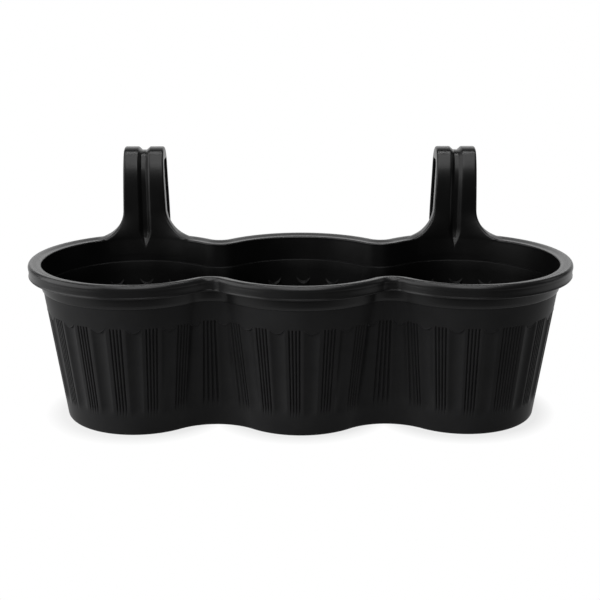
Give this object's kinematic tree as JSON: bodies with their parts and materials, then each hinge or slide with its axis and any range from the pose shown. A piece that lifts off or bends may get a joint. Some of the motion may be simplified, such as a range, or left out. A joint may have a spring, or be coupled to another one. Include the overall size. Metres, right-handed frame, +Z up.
{
  "type": "balcony planter",
  "caption": "Long black plastic planter of joined round pots with fluted walls, one rolled rim and hooks that hang it over a balcony rail.",
  "frame": {"origin": "middle of the flat underside, on the pad under the middle pot", "axes": "+X along the row of pots, +Y from the open front towards the rail that the hooks go over, +Z up"},
  "size_m": [0.5, 0.229, 0.2346],
  "materials": {
    "pot_plastic": "satin black, fine moulded texture",
    "rim_plastic": "satin black, a little smoother than the walls",
    "hook_plastic": "satin black, smooth"
  },
  "bodies": {
    "root": {"floor": "pot_plastic", "left_wall": "pot_plastic", "right_wall": "pot_plastic", "front_wall": "pot_plastic", "back_wall": "pot_plastic", "rim": "rim_plastic", "left_hook": "hook_plastic", "right_hook": "hook_plastic"}
  },
  "joints": []
}
